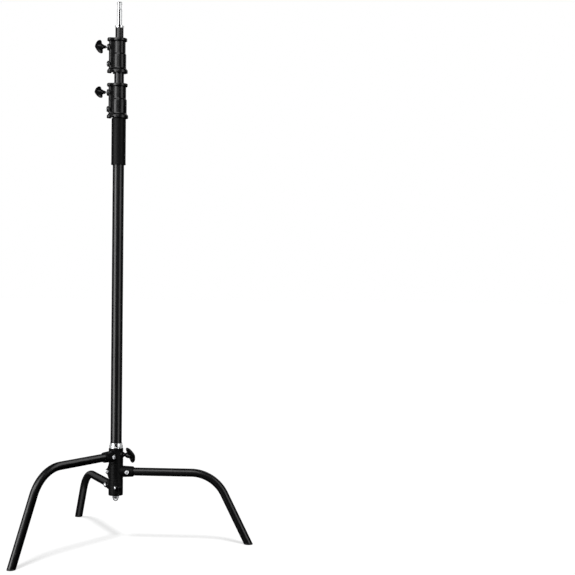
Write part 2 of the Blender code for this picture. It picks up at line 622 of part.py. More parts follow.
def main():
    clear_scene()
    mats = {
        "tube": material("black_tube", (0.018, 0.018, 0.020), 0.30, 0.0),
        "casting": material("black_casting", (0.020, 0.020, 0.021), 0.42, 0.0),
        "handle": material("black_handle", (0.015, 0.015, 0.016), 0.28, 0.0),
        "foam": material("black_foam", (0.022, 0.022, 0.023), 0.85, 0.0),
        "plastic": material("black_plastic", (0.025, 0.025, 0.026), 0.55, 0.0),
        "nylon": material("black_nylon", (0.030, 0.030, 0.031), 0.50, 0.0),
        "chrome": material("chrome", (0.83, 0.83, 0.84), 0.12, 1.0),
        "steel": material("zinc_plated_steel", (0.62, 0.62, 0.63), 0.28, 1.0),
        "brass": material("brass", (0.72, 0.52, 0.24), 0.35, 1.0),
    }
    stand = frame("stand", location=(COLUMN_X, COLUMN_Y, 0))
    heights = {}
    for level, leg in enumerate(("bottom", "middle", "top")):
        heights[leg] = build_leg(leg, level, mats, stand)
    top_frame, top_height = heights["top"]
    build_hub(mats, stand, top_frame, top_height)
    build_clamp("base", HANDLE_AZIMUTH, HANDLE_HEIGHT, COLUMN_RADIUS, (BASE_SHOE_RADIUS, 0.0036),
                0.0218, 0.0298, 0.0690, 35, mats, stand)
    build_column(mats, stand)


main()
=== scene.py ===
"""Looks for the C stand: fine pieces in place of the faceted ones, finishes, floor, lights and camera.

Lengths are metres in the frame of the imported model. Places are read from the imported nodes. The sizes
named below are the ones that shape the fine pieces and that a node's box does not give.
"""

import json
import math
from collections import namedtuple

import bmesh
import bpy
from mathutils import Matrix, Vector

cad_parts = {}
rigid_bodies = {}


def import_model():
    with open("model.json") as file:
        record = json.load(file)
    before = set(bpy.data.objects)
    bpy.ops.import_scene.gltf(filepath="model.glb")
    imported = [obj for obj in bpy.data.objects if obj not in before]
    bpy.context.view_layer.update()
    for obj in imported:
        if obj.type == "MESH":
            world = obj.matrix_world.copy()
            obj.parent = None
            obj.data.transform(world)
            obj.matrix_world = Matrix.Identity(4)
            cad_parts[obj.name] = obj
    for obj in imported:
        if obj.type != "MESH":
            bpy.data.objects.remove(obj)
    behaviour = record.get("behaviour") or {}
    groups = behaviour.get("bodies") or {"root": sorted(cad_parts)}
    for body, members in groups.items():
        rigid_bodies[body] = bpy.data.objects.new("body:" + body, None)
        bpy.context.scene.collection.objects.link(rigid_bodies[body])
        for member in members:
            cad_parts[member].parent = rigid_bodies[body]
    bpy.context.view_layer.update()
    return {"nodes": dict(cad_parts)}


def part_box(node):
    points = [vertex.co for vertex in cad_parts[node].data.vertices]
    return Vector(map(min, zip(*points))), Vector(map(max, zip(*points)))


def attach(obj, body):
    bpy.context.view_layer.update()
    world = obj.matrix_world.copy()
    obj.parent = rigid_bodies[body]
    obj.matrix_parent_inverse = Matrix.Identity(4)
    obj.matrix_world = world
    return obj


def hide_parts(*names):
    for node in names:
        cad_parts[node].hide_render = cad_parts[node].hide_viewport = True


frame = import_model()

# ---- sizes -------------------------------------------------------------------------------------

CLEARANCE = 0.0003
TUBE_WALL = 0.0015
LEG_BEND_RADIUS = 0.1156
# outward run for each metre of drop
LEG_SLOPE = {"top": 0.4260, "middle": 0.4985, "bottom": 0.5250}
ARM_LENGTH = 0.0570
LEG_AZIMUTH = {"top": 240.0, "middle": 0.0, "bottom": 120.0}
LEG_BOLT_RADIUS = {"top": 0.0300, "middle": 0.0378, "bottom": 0.0515}
LEG_BOLT_SIDE = {"top": 1, "middle": -1, "bottom": 1}
LEG_BOLT_HOLE = 0.0043
FOOT_PLUG_TOP = 0.0220
BARREL_RADIUS = 0.0225
SLOT_HALF_WIDTH = 0.0006
RECEIVER_RADIUS = 0.0192
CENTRE_BOLT_HOLE = 0.0063
DOME_RADIUS = 0.0084
BOSS_HALF_LENGTH = 0.0176
PINCH_RADIUS = {"middle": 0.0258, "bottom": 0.0240}
PINCH_SEAT = 0.0098
PINCH_DEPTH = 0.0065
LOBE_RADIUS = 0.0105
LOBE_CENTRE = {"middle": 0.0208, "bottom": 0.0181}
LOBE_HALF_WIDTH = 0.0102
BORE_RADIUS = 0.0196
HANDLE_AZIMUTH = -22.0
KNOB_AZIMUTH = 200.0
HANDLE_HALF_SPAN = 0.0300
CLAMP_SCREW_RADIUS = 0.0035
THREAD_PITCH = 0.00125
THREAD_DEPTH = 0.00045
COLLAR_STEP_DEPTH = 0.0480
COLLAR_KNOB_DEPTH = 0.0285
COLLAR_BOLT_HEIGHT = 0.0270
COLLAR_FLANGE = 0.0048
COLLAR_EAR_REACH = 0.0318
COLLAR_BOSS_REACH = 0.0372

SIDES = 96                      # round a tube
CAST_VOXEL = 0.00045
HANDLE_VOXEL = 0.00035


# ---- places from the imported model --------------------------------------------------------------

def low(node):
    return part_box(node)[0]


def high(node):
    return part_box(node)[1]


def middle(node):
    return (low(node) + high(node)) / 2


def width(node):
    """A round upright node's radius."""
    return (high(node).x - low(node).x) / 2


AXIS = Vector((middle("receiver_tube").x, middle("receiver_tube").y, 0))
COLUMN_RADIUS = width("column_tube")
MIDDLE_RISER_RADIUS = width("middle_riser_tube")
TOP_RISER_RADIUS = width("top_riser_tube")


def place(azimuth=0.0, height=0.0):
    """A frame on the stand's axis whose +X points along an azimuth in degrees."""
    return Matrix.Translation(AXIS + Vector((0, 0, height))) @ Matrix.Rotation(math.radians(azimuth), 4, 'Z')


# ---- finishes ----------------------------------------------------------------------------------

class Finish:
    """A material under construction: object coordinates feed noises that vary the shader's inputs."""

    def __init__(self, name, roughness, metallic=0.0, specular=0.5, coat=0.0, coat_roughness=0.1):
        self.material = bpy.data.materials.new(name)
        self.material.use_nodes = True
        self.nodes = self.material.node_tree.nodes
        self.links = self.material.node_tree.links
        self.shader = self.nodes["Principled BSDF"]
        self.shader.inputs["Metallic"].default_value = metallic
        self.shader.inputs["Roughness"].default_value = roughness
        self.shader.inputs["Specular IOR Level"].default_value = specular
        self.shader.inputs["Coat Weight"].default_value = coat
        self.shader.inputs["Coat Roughness"].default_value = coat_roughness
        self.coordinates = self.nodes.new("ShaderNodeTexCoord").outputs["Object"]

    def stretched(self, scale):
        mapping = self.nodes.new("ShaderNodeMapping")
        mapping.inputs["Scale"].default_value = scale
        self.links.new(self.coordinates, mapping.inputs["Vector"])
        return mapping.outputs["Vector"]

    def noise(self, scale, detail=3.0, stretch=None, distortion=0.0):
        node = self.nodes.new("ShaderNodeTexNoise")
        node.inputs["Scale"].default_value = scale
        node.inputs["Detail"].default_value = detail
        node.inputs["Distortion"].default_value = distortion
        self.links.new(self.stretched(stretch) if stretch else self.coordinates, node.inputs["Vector"])
        return node.outputs["Fac"]

    def cells(self, scale):
        node = self.nodes.new("ShaderNodeTexVoronoi")
        node.inputs["Scale"].default_value = scale
        self.links.new(self.coordinates, node.inputs["Vector"])
        return node.outputs["Distance"]

    def levels(self, value, from_low, from_high, to_low=0.0, to_high=1.0):
        node = self.nodes.new("ShaderNodeMapRange")
        node.interpolation_type = 'SMOOTHSTEP'
        for name, number in (("From Min", from_low), ("From Max", from_high),
                             ("To Min", to_low), ("To Max", to_high)):
            node.inputs[name].default_value = number
        self.links.new(value, node.inputs["Value"])
        return node.outputs["Result"]

    def combine(self, first, second, operation='MULTIPLY'):
        node = self.nodes.new("ShaderNodeMath")
        node.operation = operation
        for value, socket in zip((first, second), node.inputs):
            if isinstance(value, float):
                socket.default_value = value
            else:
                self.links.new(value, socket)
        return node.outputs["Value"]

    def blend(self, mask, first, second):
        """first where the mask is 0, second where it is 1; each is a colour or a socket."""
        node = self.nodes.new("ShaderNodeMix")
        node.data_type = 'RGBA'
        self.links.new(mask, node.inputs["Factor"])
        sockets = [socket for socket in node.inputs if socket.type == 'RGBA']
        for value, socket in zip((first, second), sockets):
            if isinstance(value, tuple):
                socket.default_value = (*value, 1.0)
            else:
                self.links.new(value, socket)
        return next(socket for socket in node.outputs if socket.type == 'RGBA')

    def height_above_floor(self, start, end):
        """1 at one height above the floor, 0 at another; for pieces whose own Z is the stand's."""
        split = self.nodes.new("ShaderNodeSeparateXYZ")
        self.links.new(self.coordinates, split.inputs["Vector"])
        return self.levels(split.outputs["Z"], start, end, 1.0, 0.0)

    def bump(self, layers):
        """Stack (value, distance) layers into one normal."""
        normal = None
        for value, distance in layers:
            node = self.nodes.new("ShaderNodeBump")
            node.inputs["Strength"].default_value = 1.0
            node.inputs["Distance"].default_value = distance
            self.links.new(value, node.inputs["Height"])
            if normal:
                self.links.new(normal, node.inputs["Normal"])
            normal = node.outputs["Normal"]
        self.links.new(normal, self.shader.inputs["Normal"])

    def done(self, colour, roughness):
        self.links.new(colour, self.shader.inputs["Base Color"])
        self.links.new(roughness, self.shader.inputs["Roughness"])
        return self.material


def tube_finish():
    """Semi-gloss black paint on drawn steel: faint draw lines, rub marks, fine orange peel."""
    f = Finish("black_tube_paint", 0.30, specular=0.62)
    drawn = f.noise(260.0, 2.0, stretch=(1.0, 1.0, 0.02))
    cloud = f.noise(9.0, 3.0)
    rubs = f.levels(f.noise(90.0, 4.0, stretch=(1.0, 1.0, 0.06), distortion=0.4), 0.66, 0.78)
    rubs = f.combine(rubs, f.levels(cloud, 0.42, 0.62))
    base = f.blend(cloud, (0.0032, 0.0032, 0.0035), (0.0062, 0.0062, 0.0067))
    colour = f.blend(rubs, base, (0.016, 0.016, 0.017))
    roughness = f.combine(f.levels(drawn, 0.3, 0.7, 0.25, 0.33), f.combine(rubs, 0.12), 'ADD')
    f.bump([(f.noise(520.0, 2.0), 0.00003), (drawn, 0.00002)])
    return f.done(colour, roughness)


def leg_finish():
    """The same paint, sprayed a little thicker, with scuffs and dust that gather towards the floor."""
    f = Finish("black_leg_paint", 0.32, specular=0.60)
    cloud = f.noise(11.0, 3.0)
    peel = f.noise(430.0, 2.0)
    low_down = f.height_above_floor(0.01, 0.16)
    scuffs = f.levels(f.noise(140.0, 5.0, stretch=(1.0, 1.0, 0.25)), 0.60, 0.72)
    scuffs = f.combine(scuffs, f.combine(low_down, 0.75))
    base = f.blend(cloud, (0.0032, 0.0032, 0.0035), (0.0066, 0.0066, 0.0070))
    colour = f.blend(scuffs, base, (0.045, 0.044, 0.042))
    roughness = f.combine(f.levels(cloud, 0.3, 0.7, 0.27, 0.35), f.combine(scuffs, 0.25), 'ADD')
    f.bump([(peel, 0.00004), (f.noise(60.0, 2.0), 0.00006)])
    return f.done(colour, roughness)


def casting_finish():
    """Black powder coat over die-cast metal: a fine pebbled skin and slightly rubbed high spots."""
    f = Finish("black_powder_coat", 0.52, specular=0.16)
    pebble = f.noise(900.0, 3.0)
    cloud = f.noise(35.0, 4.0)
    chips = f.levels(f.noise(210.0, 6.0), 0.70, 0.76)
    base = f.blend(cloud, (0.0020, 0.0020, 0.0022), (0.0048, 0.0048, 0.0050))
    colour = f.blend(f.combine(chips, 0.4), base, (0.040, 0.040, 0.042))
    roughness = f.levels(pebble, 0.3, 0.7, 0.44, 0.56)
    f.bump([(pebble, 0.00004), (cloud, 0.00006)])
    return f.done(colour, roughness)


def collar_finish():
    """Satin black enamel on a machined casting: faint turning waves, a little peel, rubbed spots."""
    f = Finish("black_satin_enamel", 0.28, specular=0.50)
    peel = f.noise(620.0, 2.0)
    waves = f.noise(300.0, 2.0, stretch=(0.05, 0.05, 1.0))
    cloud = f.noise(40.0, 4.0)
    rubs = f.levels(f.noise(180.0, 5.0), 0.68, 0.76)
    base = f.blend(cloud, (0.0022, 0.0022, 0.0024), (0.0040, 0.0040, 0.0042))
    colour = f.blend(f.combine(rubs, 0.35), base, (0.026, 0.026, 0.028))
    roughness = f.combine(f.levels(cloud, 0.3, 0.7, 0.24, 0.31), f.combine(rubs, 0.12), 'ADD')
    f.bump([(peel, 0.000007), (waves, 0.000010)])
    return f.done(colour, roughness)


def handle_finish():
    """Glossy moulded black plastic with a few hairline handling marks."""
    f = Finish("black_moulded_plastic", 0.26, specular=0.22, coat=0.05, coat_roughness=0.08)
    cloud = f.noise(60.0, 3.0)
    hairlines = f.levels(f.noise(420.0, 5.0, stretch=(1.0, 0.12, 0.5), distortion=1.5), 0.64, 0.70)
    base = f.blend(cloud, (0.0030, 0.0030, 0.0033), (0.0060, 0.0060, 0.0064))
    colour = f.blend(f.combine(hairlines, 0.35), base, (0.030, 0.030, 0.032))
    roughness = f.combine(f.levels(cloud, 0.3, 0.7, 0.20, 0.28), f.combine(hairlines, 0.10), 'ADD')
    f.bump([(f.noise(700.0, 2.0), 0.00002)])
    return f.done(colour, roughness)


def grip_finish():
    """Matte black closed-cell foam: small pores, soft swirls, paler where hands rub it."""
    f = Finish("black_grip_foam", 0.48, specular=0.15)
    pores = f.cells(1500.0)
    swirl = f.noise(40.0, 4.0)
    base = f.blend(swirl, (0.0022, 0.0022, 0.0024), (0.0042, 0.0042, 0.0044))
    rubbed = f.levels(f.noise(16.0, 2.0, stretch=(1.0, 1.0, 0.4)), 0.55, 0.75)
    colour = f.blend(f.combine(rubbed, 0.6), base, (0.0075, 0.0075, 0.0078))
    roughness = f.levels(swirl, 0.3, 0.7, 0.40, 0.50)
    f.bump([(f.levels(pores, 0.0, 0.5), 0.00003), (swirl, 0.00008)])
    return f.done(colour, roughness)


def plastic_finish(name, shade, roughness):
    """Matte moulded plastic or nylon with a fine spark-eroded grain."""
    f = Finish(name, roughness, specular=0.45)
    grain = f.noise(1300.0, 2.0)
    cloud = f.noise(50.0, 3.0)
    colour = f.blend(cloud, (shade * 0.7,) * 3, (shade * 1.3,) * 3)
    worn = f.levels(grain, 0.3, 0.7, roughness - 0.06, roughness + 0.06)
    f.bump([(grain, 0.00004)])
    return f.done(colour, worn)


def metal_finish(name, bright, dull, roughness, brushed, spots):
    """Plated or bare metal: fine turning lines, soft cloudiness and small dull spots."""
    f = Finish(name, roughness, metallic=1.0)
    lines = f.noise(brushed, 2.0, stretch=(0.15, 0.15, 1.0))
    cloud = f.noise(45.0, 4.0)
    dull_spots = f.combine(f.levels(f.noise(320.0, 5.0), 0.62, 0.72), spots)
    colour = f.blend(dull_spots, f.blend(cloud, bright, tuple(c * 0.94 for c in bright)), dull)
    worn = f.levels(lines, 0.3, 0.7, roughness * 0.8, roughness * 1.25)
    f.bump([(lines, 0.000012)])
    return f.done(colour, f.combine(worn, f.combine(dull_spots, 0.2), 'ADD'))


FINISH = {
    "tube": tube_finish(),
    "leg": leg_finish(),
    "casting": casting_finish(),
    "collar": collar_finish(),
    "handle": handle_finish(),
    "foam": grip_finish(),
    "plastic": plastic_finish("black_foot_plastic", 0.008, 0.50),
    "nylon": plastic_finish("black_bush_nylon", 0.006, 0.50),
    "chrome": metal_finish("polished_chrome", (0.86, 0.87, 0.88), (0.55, 0.56, 0.58), 0.12, 1400.0, 0.35),
    "steel": metal_finish("zinc_plate", (0.76, 0.77, 0.79), (0.42, 0.42, 0.43), 0.27, 1100.0, 0.60),
    "brass": metal_finish("turned_brass", (0.74, 0.55, 0.27), (0.38, 0.27, 0.14), 0.32, 1200.0, 0.60),
}


# ---- shapes ------------------------------------------------------------------------------------

def rounded(outline, steps=5):
    """An outline whose (x, y, radius) corners become soft; (x, y) corners stay sharp."""
    points = []
    for i, corner in enumerate(outline):
        here = Vector(corner[:2])
        if len(corner) == 2:
            points.append(here)
            continue
        back = Vector(outline[i - 1][:2]) - here
        ahead = Vector(outline[(i + 1) % len(outline)][:2]) - here
        reach = corner[2] / math.tan(back.angle(ahead) / 2)
        reach = min(reach, 0.48 * back.length, 0.48 * ahead.length)
        start = here + back.normalized() * reach
        end = here + ahead.normalized() * reach
        for step in range(steps + 1):
            t = step / steps
            points.append((1 - t) ** 2 * start + 2 * t * (1 - t) * here + t * t * end)
    return points


def turned(outline, sides=SIDES):
    """Spin an outline of (radius, height) corners about Z; one that starts on the axis ends there too."""
    points = rounded(outline)
    bm = bmesh.new()
    verts = [bm.verts.new((point[0], 0, point[1])) for point in points]
    edges = [bm.edges.new(pair) for pair in zip(verts, verts[1:])]
    if points[0][0] > 1e-7:
        edges.append(bm.edges.new((verts[-1], verts[0])))
    bmesh.ops.spin(bm, geom=verts + edges, cent=(0, 0, 0), axis=(0, 0, 1),
                   angle=2 * math.pi, steps=sides, use_merge=True)
    bmesh.ops.remove_doubles(bm, verts=bm.verts, dist=1e-7)
    return bm


def rod(radius, bottom, top, sides=48):
    return turned([(0, bottom), (radius, bottom), (radius, top), (0, top)], sides)


def drill(radius, bottom, top, sides=48):
    """A rod for cutting, turned by half a side so its edges miss those of the piece it cuts."""
    return moved(rod(radius, bottom, top, sides), Matrix.Rotation(math.pi / sides, 4, 'Z'))


def stepped_drill(wide, narrow, bottom, step, top):
    shape = turned([(0, bottom), (wide, bottom), (wide, step), (narrow, step), (narrow, top), (0, top)], 48)
    return moved(shape, Matrix.Rotation(math.pi / 48, 4, 'Z'))


def moved(bm, matrix):
    bmesh.ops.transform(bm, matrix=matrix, verts=bm.verts)
    return bm


def along_x(height=0.0):
    """Lays a shape that was made about Z along +X, at a height."""
    return Matrix.Translation((0, 0, height)) @ Matrix.Rotation(math.radians(90), 4, 'Y')


def along_y(x, height, side=1):
    """Lays a shape that was made about Z along Y, to either side, at a distance out and a height."""
    return Matrix.Translation((x, 0, height)) @ Matrix.Rotation(math.radians(-90 * side), 4, 'X')


def box_shape(corner, opposite):
    bm = bmesh.new()
    bmesh.ops.create_cube(bm, size=1.0)
    for vert in bm.verts:
        for axis in range(3):
            vert.co[axis] = opposite[axis] if vert.co[axis] > 0 else corner[axis]
    return bm


def skin(rings, closed=False):
    """Skin rings that have the same number of points; a closed skin joins the last to the first."""
    bm = bmesh.new()
    loops = [[bm.verts.new(point) for point in points] for points in rings]
    pairs = list(zip(loops, loops[1:]))
    if closed:
        pairs.append((loops[-1], loops[0]))
    for lower, upper in pairs:
        for i, vert in enumerate(lower):
            bm.faces.new((lower[i - 1], vert, upper[i], upper[i - 1]))
    if not closed:
        bm.faces.new(loops[0])
        bm.faces.new(loops[-1])
    return bm


def hexagon(across_flats, bottom, top):
    corner = across_flats / 2 / math.cos(math.radians(30))
    points = [[Vector((corner * math.cos(a), corner * math.sin(a), level))
               for a in (math.radians(60 * i) for i in range(6))] for level in (bottom, top)]
    return skin(points)


def mesh_from(bm, name):
    bmesh.ops.recalc_face_normals(bm, faces=bm.faces)
    mesh = bpy.data.meshes.new(name)
    bm.to_mesh(mesh)
    bm.free()
    return mesh


def carve(name, base, steps, after=()):
    """Apply Booleans, then any further (modifier, settings) pairs, and return the finished mesh."""
    body = bpy.data.objects.new(name, mesh_from(base, name))
    bpy.context.scene.collection.objects.link(body)
    helpers = []
    for operation, shape in steps:
        helper = bpy.data.objects.new(f"{name}_helper", mesh_from(shape, f"{name}_helper"))
        bpy.context.scene.collection.objects.link(helper)
        helpers.append(helper)
        boolean = body.modifiers.new("boolean", 'BOOLEAN')
        boolean.operation = operation
        boolean.object = helper
    for kind, settings in after:
        modifier = body.modifiers.new(kind.lower(), kind)
        for key, value in settings.items():
            setattr(modifier, key, value)
    evaluated = body.evaluated_get(bpy.context.evaluated_depsgraph_get())
    mesh = bpy.data.meshes.new_from_object(evaluated)
    for spare in [body, *helpers]:
        bpy.data.objects.remove(spare)
    return mesh


def soft_casting(name, base, steps, voxel, share, smoothing=5):
    """One cast or moulded body: joined and cut, then every edge and inside corner softened."""
    after = [('REMESH', {"mode": 'VOXEL', "voxel_size": voxel}),
             ('SMOOTH', {"factor": 0.5, "iterations": smoothing}),
             ('DECIMATE', {"ratio": share})]
    return carve(name, base, steps, after)


def add_piece(node, mesh, matrix, body, finish, sharp=32):
    """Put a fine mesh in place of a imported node."""
    if isinstance(mesh, bmesh.types.BMesh):
        mesh = mesh_from(mesh, f"{node}_fine")
    mesh.shade_smooth()
    if sharp:
        mesh.set_sharp_from_angle(angle=math.radians(sharp))
    mesh.materials.clear()
    mesh.materials.append(FINISH[finish])
    obj = bpy.data.objects.new(f"{node}_fine", mesh)
    bpy.context.scene.collection.objects.link(obj)
    obj.matrix_world = matrix
    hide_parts(node)
    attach(obj, body)
    return obj


# ---- fasteners ---------------------------------------------------------------------------------

def button_bolt(radius, head_radius, head_height, length, key):
    """A button-head bolt about Z with a domed head and a hexagon socket; its seat is at 0."""
    base = [(0, -length), (radius, -length, 0.0006), (radius, 0), (head_radius, 0, 0.0002),
            (head_radius, head_height * 0.45, 0.0020), (head_radius * 0.62, head_height, 0.0030),
            (0, head_height)]
    return turned(base, 48), hexagon(key, head_height * 0.30, head_height + 0.001)


def bolt_mesh(name, sizes, key, seat):
    bolt, socket = button_bolt(*sizes, key)
    mesh = carve(name, bolt, [('DIFFERENCE', socket)])
    mesh.transform(seat)
    return mesh


def chamfered_nut(name, across_flats, bottom, top, hole):
    """A hexagon nut about Z: corners turned off to a cone at both faces, and a countersunk hole."""
    flat = across_flats / 2
    corner = flat / math.cos(math.radians(30))
    cone = turned([(0, bottom), (flat * 0.97, bottom), (corner + 0.0003, bottom + 0.0014),
                   (corner + 0.0003, top - 0.0014), (flat * 0.97, top), (0, top)], 48)
    steps = [('INTERSECT', cone)]
    if hole:
        sink = turned([(0, bottom - 0.001), (hole + 0.0015, bottom - 0.001), (hole, bottom + 0.0005),
                       (hole, top - 0.0005), (hole + 0.0015, top + 0.001), (0, top + 0.001)], 48)
        steps.append(('DIFFERENCE', moved(sink, Matrix.Rotation(math.pi / 48, 4, 'Z'))))
    return carve(name, hexagon(across_flats, bottom, top), steps)


def threaded_rod(radius, start, end, sides=24, steps=8):
    """A rod about Z whose surface is one helical thread, plain and slightly smaller at its ends."""
    rings = []
    count = int((end - start) / THREAD_PITCH * steps)
    for i in range(count + 1):
        level = start + (end - start) * i / count
        fade = min(1.0, (level - start) / THREAD_PITCH, (end - level) / THREAD_PITCH)
        points = []
        for j in range(sides):
            angle = 2 * math.pi * j / sides
            wave = 0.5 - 0.5 * math.cos(2 * math.pi * level / THREAD_PITCH - angle)
            r = radius - THREAD_DEPTH * (1 - fade + fade * wave)
            points.append(Vector((r * math.cos(angle), r * math.sin(angle), level)))
        rings.append(points)
    return skin(rings)


# ---- legs --------------------------------------------------------------------------------------

LegSizes = namedtuple("LegSizes", "radius height root corner bottom")


def measured_leg(leg):
    """Tube radius, height of the flat run, its inner end, bend corner and cut end, in the leg's frame."""
    tube = frame["nodes"][f"{leg}_leg_tube"]
    to_leg = place(LEG_AZIMUTH[leg]).inverted()
    points = [to_leg @ vert.co for vert in tube.data.vertices]
    top_level = max(point.z for point in points)
    radius = (max(point.y for point in points) - min(point.y for point in points)) / 2
    height = top_level - radius
    root = min(point.x for point in points)
    bottom = min(point.z for point in points)
    end = [point.x for point in points if point.z < bottom + 1e-4]
    end_centre = (max(end) + min(end)) / 2
    corner = end_centre - LEG_SLOPE[leg] * (height - bottom)
    return LegSizes(radius, height, root, corner, bottom)


SIZES = {leg: measured_leg(leg) for leg in LEG_AZIMUTH}


def leg_path(leg, steps=32):
    """Points and directions along a leg's centre line, from its inner end to the end of its bend."""
    size = SIZES[leg]
    drop = math.atan2(1.0, LEG_SLOPE[leg])
    bend_start = size.corner - LEG_BEND_RADIUS * math.tan(drop / 2)
    path = []
    for i in range(4):
        point = Vector((size.root + (bend_start - size.root) * i / 4, 0, size.height))
        path.append((point, Vector((1, 0, 0))))
    for i in range(steps + 1):
        angle = drop * i / steps
        point = Vector((bend_start + LEG_BEND_RADIUS * math.sin(angle), 0,
                        size.height - LEG_BEND_RADIUS * (1 - math.cos(angle))))
        path.append((point, Vector((math.cos(angle), 0, -math.sin(angle)))))
    return path


def leg_centre(leg, level):
    """Centre of a leg's sloping run at a level."""
    size = SIZES[leg]
    return Vector((size.corner + LEG_SLOPE[leg] * (size.height - level), 0, level))


def leg_direction(leg):
    return Vector((LEG_SLOPE[leg], 0, -1)).normalized()


def section(point, direction, radius, sides, level=None):
    """Points round a tube, square to its direction or slid along it to one level."""
    side = Vector((0, 1, 0))
    up = direction.cross(side)
    points = []
    for i in range(sides):
        angle = 2 * math.pi * i / sides
        spot = point + radius * (math.cos(angle) * up + math.sin(angle) * side)
        if level is not None:
            spot = spot + direction * ((level - spot.z) / direction.z)
        points.append(spot)
    return points


def leg_tube(leg, sides=64):
    """A bent tube, cut off level at its lower end, with the cross bolt's hole."""
    size = SIZES[leg]
    rings = []
    for r in (size.radius, size.radius - TUBE_WALL):
        wall = [section(point, direction, r, sides) for point, direction in leg_path(leg)]
        wall.append(section(leg_centre(leg, size.bottom), leg_direction(leg), r, sides, size.bottom))
        rings += wall if r == size.radius else wall[::-1]
    hole = moved(drill(LEG_BOLT_HOLE, -0.030, 0.030), along_y(LEG_BOLT_RADIUS[leg], size.height))
    return carve(f"{leg}_leg_tube_fine", skin(rings, closed=True), [('DIFFERENCE', hole)])


def leg_foot(leg, sides=64):
    """A floor pad as wide as the tube, soft at its lower edge, with a plug that runs up inside it."""
    radius = SIZES[leg].radius
    plug = radius - TUBE_WALL - CLEARANCE
    top = SIZES[leg].bottom - CLEARANCE
    outline = rounded([(0.0, 0.0), (radius, 0.0, 0.0016), (radius, top, 0.0005), (plug, top),
                       (plug, FOOT_PLUG_TOP, 0.0010), (0.0, FOOT_PLUG_TOP)])
    rings = [section(leg_centre(leg, level), leg_direction(leg), max(r, 0.0015), sides, level)
             for r, level in outline]
    return skin(rings)


def leg_casting(leg):
    """A sleeve round the receiver tube with a socket arm, cross-bolt bosses and a lobe or boss."""
    size = SIZES[leg]
    barrel_bottom, barrel_top = CASTING_LEVELS[leg]
    centre = (barrel_bottom + barrel_top) / 2
    barrel = turned([(0, barrel_bottom), (BARREL_RADIUS, barrel_bottom, 0.0012),
                     (BARREL_RADIUS, barrel_top, 0.0012), (0, barrel_top)])
    arm = turned([(0, 0.0130), (0.0182, 0.0130), (0.0162, ARM_LENGTH - 0.0030, 0.0020),
                  (0.0142, ARM_LENGTH, 0.0016), (0, ARM_LENGTH)], 64)
    boss = turned([(0, -BOSS_HALF_LENGTH), (0.0085, -BOSS_HALF_LENGTH, 0.0008),
                   (0.0088, 0), (0.0085, BOSS_HALF_LENGTH, 0.0008), (0, BOSS_HALF_LENGTH)], 48)
    bolt_x = LEG_BOLT_RADIUS[leg]
    socket = drill(size.radius + CLEARANCE, size.root - CLEARANCE, 0.070, 64)
    joins = [moved(arm, along_x(size.height)), moved(boss, along_y(bolt_x, size.height))]
    cuts = [moved(socket, along_x(size.height)),
            moved(drill(LEG_BOLT_HOLE, -0.030, 0.030), along_y(bolt_x, size.height))]
    if leg == "top":
        turn = Matrix.Rotation(math.radians(HANDLE_AZIMUTH - LEG_AZIMUTH["top"]), 4, 'Z')
        level = middle("base_clamp_screw").z
        screw_boss = turned([(0, 0.0190), (0.0100, 0.0190), (0.0087, 0.0240, 0.0020),
                             (0.0084, 0.0285, 0.0008), (0, 0.0285)], 48)
        stepped = stepped_drill(0.0051, CLAMP_SCREW_RADIUS + CLEARANCE, 0.0100, 0.0248, 0.0350)
        joins.append(moved(screw_boss, turn @ along_x(level)))
        joins.append(moved(rod(0.0080, -0.0262, -0.0200), along_x(centre)))
        cuts.append(moved(stepped, turn @ along_x(level)))
        cuts.append(moved(drill(LEG_BOLT_HOLE, -0.035, -0.010), along_x(centre)))
    else:
        pinch = stepped_drill(0.0028, 0.0061, -PINCH_DEPTH - CLEARANCE, PINCH_SEAT, 0.0200)
        joins.append(pinch_lobe(LOBE_CENTRE[leg], centre, barrel_top - barrel_bottom))
        cuts.append(moved(pinch, along_y(-PINCH_RADIUS[leg], centre, LEG_BOLT_SIDE[leg])))
        cuts.append(box_shape((-0.040, -SLOT_HALF_WIDTH, barrel_bottom - 0.001),
                              (-0.0150, SLOT_HALF_WIDTH, barrel_top + 0.001)))
    bore = drill(BORE_RADIUS, barrel_bottom - 0.002, barrel_top + 0.002, SIDES)
    steps = [('UNION', shape) for shape in joins] + [('DIFFERENCE', shape) for shape in [bore, *cuts]]
    return soft_casting(f"{leg}_leg_casting_fine", barrel, steps, CAST_VOXEL, 0.22), centre


def pinch_lobe(centre, level, tall):
    """A rounded lobe opposite the arm: slopes above and below that meet a round nose."""
    root_half = tall / 2 - 0.0012
    outline = [(-0.0185, root_half), (-0.0214, root_half)]
    for i in range(17):
        angle = math.radians(65 - 130 * i / 16)
        outline.append((-centre - LOBE_RADIUS * math.cos(angle), LOBE_RADIUS * math.sin(angle)))
    outline += [(-0.0214, -root_half), (-0.0185, -root_half)]
    return skin([[Vector((x, y, level + z)) for x, z in outline]
                 for y in (-LOBE_HALF_WIDTH, LOBE_HALF_WIDTH)])


WASHER_LEVELS = [(low(node).z, high(node).z) for node in ("lower_thrust_washer", "upper_thrust_washer")]
CASTING_LEVELS = {
    "bottom": (high("end_washer").z + CLEARANCE, WASHER_LEVELS[0][0] - CLEARANCE),
    "middle": (WASHER_LEVELS[0][1] + CLEARANCE, WASHER_LEVELS[1][0] - CLEARANCE),
}
CASTING_TALL = CASTING_LEVELS["bottom"][1] - CASTING_LEVELS["bottom"][0]
CASTING_LEVELS["top"] = (WASHER_LEVELS[1][1] + CLEARANCE, WASHER_LEVELS[1][1] + CLEARANCE + CASTING_TALL)


